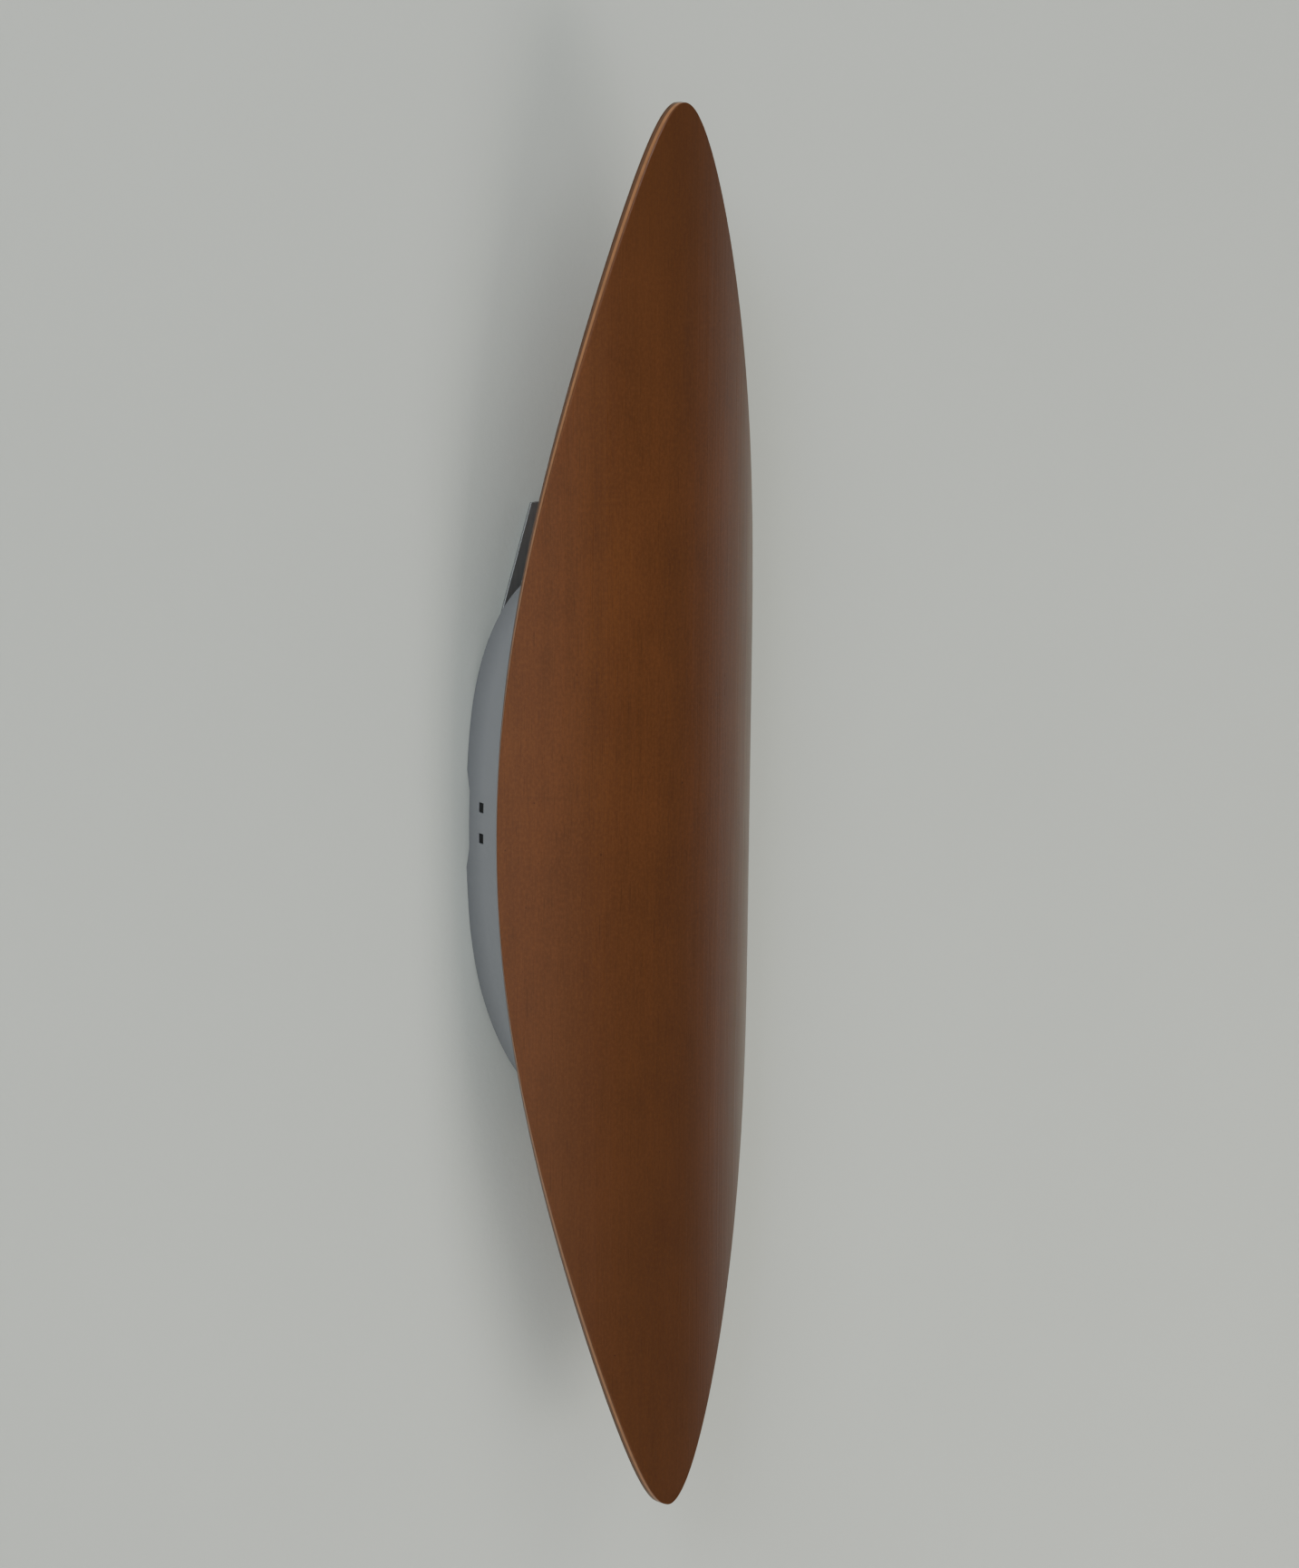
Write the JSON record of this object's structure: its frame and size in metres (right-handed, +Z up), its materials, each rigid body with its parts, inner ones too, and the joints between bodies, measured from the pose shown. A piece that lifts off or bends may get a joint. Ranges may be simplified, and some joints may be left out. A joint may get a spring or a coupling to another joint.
{
  "type": "wall lamp",
  "caption": "Leaf-shaped wall lamp: a tall bent plywood shield hangs in front of a grey steel body and hides lamps that wash the wall above and below.",
  "frame": {"origin": "middle of the back plate's rear face, on the wall", "axes": "+Z up along the shield, +Y into the wall, so the lamp faces -Y; +X to the right seen from the room"},
  "size_m": [0.128, 0.056, 0.5596],
  "materials": {
    "wood": "stained moulded plywood, satin",
    "grey_paint": "satin mid grey paint",
    "dark_metal": "satin dark metal sheet",
    "zinc_steel": "zinc plated",
    "screw_steel": "bright zinc plated",
    "rivet_alu": "plain",
    "ceramic": "glazed ceramic",
    "lamp_base": "moulded",
    "lamp_glass": "frosted",
    "lamp_core": "phosphor coated",
    "natural_nylon": "moulded",
    "brass": "plain",
    "black_plastic": "fine moulded grain",
    "rubber": "soft",
    "wire_brown": "sleeved",
    "wire_blue": "sleeved",
    "wire_green": "sleeved"
  },
  "bodies": {
    "frame": {"back_plate": "grey_paint", "bracket_rivets_lower": "rivet_alu", "bracket_rivets_upper": "rivet_alu", "cable_grommet": "rubber", "cheek_left": "grey_paint", "cheek_right": "grey_paint", "earth_screw": "brass", "earth_tag": "brass", "holder_bracket_lower": "zinc_steel", "holder_bracket_upper": "zinc_steel", "holder_screws_lower": "screw_steel", "holder_screws_upper": "screw_steel", "lampholder_lower": "ceramic", "lampholder_upper": "ceramic", "reflector_lower": "dark_metal", "reflector_screws_lower": "screw_steel", "reflector_screws_upper": "screw_steel", "reflector_upper": "dark_metal", "strap_lower": "zinc_steel", "strap_upper": "zinc_steel", "terminal_block": "natural_nylon", "terminal_screws": "screw_steel", "terminal_tubes": "brass", "wire_earth": "wire_green", "wire_live_lower": "wire_brown", "wire_live_upper": "wire_brown", "wire_neutral_lower": "wire_blue", "wire_neutral_upper": "wire_blue", "wiring_cover": "black_plastic"},
    "shield": {"shield": "wood", "hook_lower_left": "zinc_steel", "hook_lower_right": "zinc_steel", "hook_screws_lower_left": "screw_steel", "hook_screws_lower_right": "screw_steel", "hook_screws_upper_left": "screw_steel", "hook_screws_upper_right": "screw_steel", "hook_upper_left": "zinc_steel", "hook_upper_right": "zinc_steel"},
    "lamp_upper": {"lamp_base_upper": "lamp_base", "lamp_glass_upper": "lamp_glass", "lamp_core_upper": "lamp_core", "lamp_pins_upper": "screw_steel"},
    "lamp_lower": {"lamp_base_lower": "lamp_base", "lamp_glass_lower": "lamp_glass", "lamp_core_lower": "lamp_core", "lamp_pins_lower": "screw_steel"}
  },
  "joints": [
    {"name": "shield_lift", "type": "slide", "parent": "frame", "child": "shield", "axis": [0, 0, 1], "range_m": [0, 0.03]},
    {"name": "lamp_upper_pull", "type": "slide", "parent": "frame", "child": "lamp_upper", "axis": [0, 0, 1], "range_m": [0, 0.018]},
    {"name": "lamp_lower_pull", "type": "slide", "parent": "frame", "child": "lamp_lower", "axis": [0, 0, -1], "range_m": [0, 0.018]}
  ]
}
